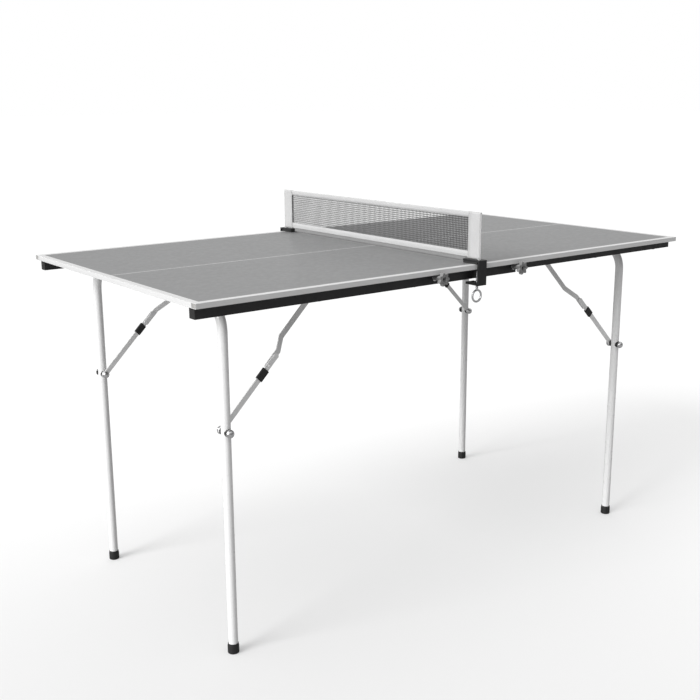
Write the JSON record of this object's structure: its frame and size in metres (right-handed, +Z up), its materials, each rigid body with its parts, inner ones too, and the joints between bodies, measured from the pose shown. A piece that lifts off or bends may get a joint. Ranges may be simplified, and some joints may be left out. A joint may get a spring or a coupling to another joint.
{
  "type": "ping pong table",
  "caption": "Folding ping pong table with a two-part top on telescoping side rails, U-shaped tube legs on jointed stays, and a net on screw clamps.",
  "frame": {"origin": "on the floor under the middle of the playing surface", "axes": "+X along the table towards the half that slides, +Y away from the near side, +Z up"},
  "size_m": [1.4, 0.783, 0.871],
  "materials": {
    "playing_board": "painted",
    "white_trim": "satin",
    "black_metal": "satin powder coat",
    "black_plastic": "matt",
    "rubber_pad": "matt",
    "net_cloth": "woven",
    "post_metal": "satin",
    "knob_plastic": "fine grain",
    "white_metal": "gloss powder coat",
    "bright_steel": "plated"
  },
  "bodies": {
    "root": {"left_board": "playing_board", "left_trim": "white_trim", "left_rails": "black_metal", "left_rail_caps": "black_plastic", "rail_bolts": "bright_steel", "knob_washers": "bright_steel", "left_pillow_blocks": "black_plastic", "left_stay_brackets": "white_metal", "left_stay_pins": "bright_steel", "left_screws": "bright_steel", "net_clamps": "black_metal", "net_clamp_pads": "rubber_pad", "net_posts": "post_metal", "net": "net_cloth"},
    "right_half": {"right_board": "playing_board", "right_trim": "white_trim", "right_rails": "black_metal", "right_rail_caps": "black_plastic", "right_pillow_blocks": "black_plastic", "right_stay_brackets": "white_metal", "right_stay_pins": "bright_steel", "right_screws": "bright_steel"},
    "left_leg": {"left_leg_frame": "white_metal", "left_foot_caps": "black_plastic", "left_leg_bolts": "bright_steel", "left_spacers": "black_plastic", "left_stay_nuts": "bright_steel"},
    "near_left_upper_stay": {"near_left_upper_stay": "white_metal", "near_left_inner_rivet": "bright_steel"},
    "near_left_lower_stay": {"near_left_lower_stay": "white_metal", "near_left_outer_rivet": "white_metal"},
    "near_left_sleeve": {"near_left_sleeve": "black_plastic"},
    "far_left_upper_stay": {"far_left_upper_stay": "white_metal", "far_left_inner_rivet": "bright_steel"},
    "far_left_lower_stay": {"far_left_lower_stay": "white_metal", "far_left_outer_rivet": "white_metal"},
    "far_left_sleeve": {"far_left_sleeve": "black_plastic"},
    "right_leg": {"right_leg_frame": "white_metal", "right_foot_caps": "black_plastic", "right_leg_bolts": "bright_steel", "right_spacers": "black_plastic", "right_stay_nuts": "bright_steel"},
    "near_right_upper_stay": {"near_right_upper_stay": "white_metal", "near_right_inner_rivet": "bright_steel"},
    "near_right_lower_stay": {"near_right_lower_stay": "white_metal", "near_right_outer_rivet": "white_metal"},
    "near_right_sleeve": {"near_right_sleeve": "black_plastic"},
    "far_right_upper_stay": {"far_right_upper_stay": "white_metal", "far_right_inner_rivet": "bright_steel"},
    "far_right_lower_stay": {"far_right_lower_stay": "white_metal", "far_right_outer_rivet": "white_metal"},
    "far_right_sleeve": {"far_right_sleeve": "black_plastic"},
    "near_left_knob": {"near_left_knob": "knob_plastic"},
    "near_right_knob": {"near_right_knob": "knob_plastic"},
    "far_left_knob": {"far_left_knob": "knob_plastic"},
    "far_right_knob": {"far_right_knob": "knob_plastic"},
    "near_screw_pad": {"near_screw_pad": "rubber_pad"},
    "near_ring_screw": {"near_ring_screw": "bright_steel"},
    "far_screw_pad": {"far_screw_pad": "rubber_pad"},
    "far_ring_screw": {"far_ring_screw": "bright_steel"}
  },
  "joints": [
    {"name": "right_half_slide", "type": "slide", "parent": "root", "child": "right_half", "axis": [1, 0, 0], "range_m": [0, 0.24]},
    {"name": "left_leg_fold", "type": "hinge", "parent": "root", "child": "left_leg", "pos_m": [-0.594, 0, 0.737], "axis": [0, -1, 0], "range_deg": [0, 90]},
    {"name": "near_left_upper_stay_turn", "type": "hinge", "parent": "root", "child": "near_left_upper_stay", "pos_m": [-0.334, -0.2428, 0.737], "axis": [0, -1, 0], "range_deg": [-45.5, 0.5]},
    {"name": "near_left_lower_stay_turn", "type": "hinge", "parent": "left_leg", "child": "near_left_lower_stay", "pos_m": [-0.594, -0.2695, 0.477], "axis": [0, -1, 0], "range_deg": [-0.5, 45.5]},
    {"name": "near_left_sleeve_slide", "type": "slide", "parent": "near_left_lower_stay", "child": "near_left_sleeve", "axis": [-0.7071, 0, -0.7071], "range_m": [0, 0.09]},
    {"name": "far_left_upper_stay_turn", "type": "hinge", "parent": "root", "child": "far_left_upper_stay", "pos_m": [-0.334, 0.2428, 0.737], "axis": [0, -1, 0], "range_deg": [-45.5, 0.5]},
    {"name": "far_left_lower_stay_turn", "type": "hinge", "parent": "left_leg", "child": "far_left_lower_stay", "pos_m": [-0.594, 0.2695, 0.477], "axis": [0, -1, 0], "range_deg": [-0.5, 45.5]},
    {"name": "far_left_sleeve_slide", "type": "slide", "parent": "far_left_lower_stay", "child": "far_left_sleeve", "axis": [-0.7071, 0, -0.7071], "range_m": [0, 0.09]},
    {"name": "right_leg_fold", "type": "hinge", "parent": "right_half", "child": "right_leg", "pos_m": [0.594, 0, 0.737], "axis": [0, 1, 0], "range_deg": [0, 86.5]},
    {"name": "near_right_upper_stay_turn", "type": "hinge", "parent": "right_half", "child": "near_right_upper_stay", "pos_m": [0.334, -0.2428, 0.737], "axis": [0, 1, 0], "range_deg": [-45.5, 0.5]},
    {"name": "near_right_lower_stay_turn", "type": "hinge", "parent": "right_leg", "child": "near_right_lower_stay", "pos_m": [0.594, -0.2695, 0.477], "axis": [0, 1, 0], "range_deg": [-0.5, 45.5]},
    {"name": "near_right_sleeve_slide", "type": "slide", "parent": "near_right_lower_stay", "child": "near_right_sleeve", "axis": [0.7071, 0, -0.7071], "range_m": [0, 0.09]},
    {"name": "far_right_upper_stay_turn", "type": "hinge", "parent": "right_half", "child": "far_right_upper_stay", "pos_m": [0.334, 0.2428, 0.737], "axis": [0, 1, 0], "range_deg": [-45.5, 0.5]},
    {"name": "far_right_lower_stay_turn", "type": "hinge", "parent": "right_leg", "child": "far_right_lower_stay", "pos_m": [0.594, 0.2695, 0.477], "axis": [0, 1, 0], "range_deg": [-0.5, 45.5]},
    {"name": "far_right_sleeve_slide", "type": "slide", "parent": "far_right_lower_stay", "child": "far_right_sleeve", "axis": [0.7071, 0, -0.7071], "range_m": [0, 0.09]},
    {"name": "near_left_knob_turn", "type": "hinge", "parent": "root", "child": "near_left_knob", "pos_m": [-0.119, -0.375, 0.74135], "axis": [0, -1, 0], "range_deg": [0, 720]},
    {"name": "near_right_knob_turn", "type": "hinge", "parent": "root", "child": "near_right_knob", "pos_m": [0.119, -0.375, 0.74135], "axis": [0, -1, 0], "range_deg": [0, 720]},
    {"name": "far_left_knob_turn", "type": "hinge", "parent": "root", "child": "far_left_knob", "pos_m": [-0.119, 0.375, 0.74135], "axis": [0, 1, 0], "range_deg": [0, 720]},
    {"name": "far_right_knob_turn", "type": "hinge", "parent": "root", "child": "far_right_knob", "pos_m": [0.119, 0.375, 0.74135], "axis": [0, 1, 0], "range_deg": [0, 720]},
    {"name": "near_screw_feed", "type": "slide", "parent": "root", "child": "near_screw_pad", "axis": [0, 0, -1], "range_m": [0, 0.003]},
    {"name": "near_ring_screw_turn", "type": "hinge", "parent": "near_screw_pad", "child": "near_ring_screw", "pos_m": [0, -0.3665, 0.7], "axis": [0, 0, -1], "range_deg": [0, 1085]},
    {"name": "far_screw_feed", "type": "slide", "parent": "root", "child": "far_screw_pad", "axis": [0, 0, -1], "range_m": [0, 0.003]},
    {"name": "far_ring_screw_turn", "type": "hinge", "parent": "far_screw_pad", "child": "far_ring_screw", "pos_m": [0, 0.3665, 0.7], "axis": [0, 0, -1], "range_deg": [0, 1085]}
  ],
  "couplings": [
    {"joint": "near_left_upper_stay_turn", "follows": "left_leg_fold", "ratio": -0.5},
    {"joint": "near_left_lower_stay_turn", "follows": "left_leg_fold", "ratio": 0.5},
    {"joint": "far_left_upper_stay_turn", "follows": "left_leg_fold", "ratio": -0.5},
    {"joint": "far_left_lower_stay_turn", "follows": "left_leg_fold", "ratio": 0.5},
    {"joint": "near_right_upper_stay_turn", "follows": "right_leg_fold", "ratio": -0.52023},
    {"joint": "near_right_lower_stay_turn", "follows": "right_leg_fold", "ratio": 0.52023},
    {"joint": "far_right_upper_stay_turn", "follows": "right_leg_fold", "ratio": -0.52023},
    {"joint": "far_right_lower_stay_turn", "follows": "right_leg_fold", "ratio": 0.52023},
    {"joint": "near_ring_screw_turn", "follows": "near_screw_feed", "rad_per_m": 6283.2},
    {"joint": "far_ring_screw_turn", "follows": "far_screw_feed", "rad_per_m": 6283.2}
  ]
}
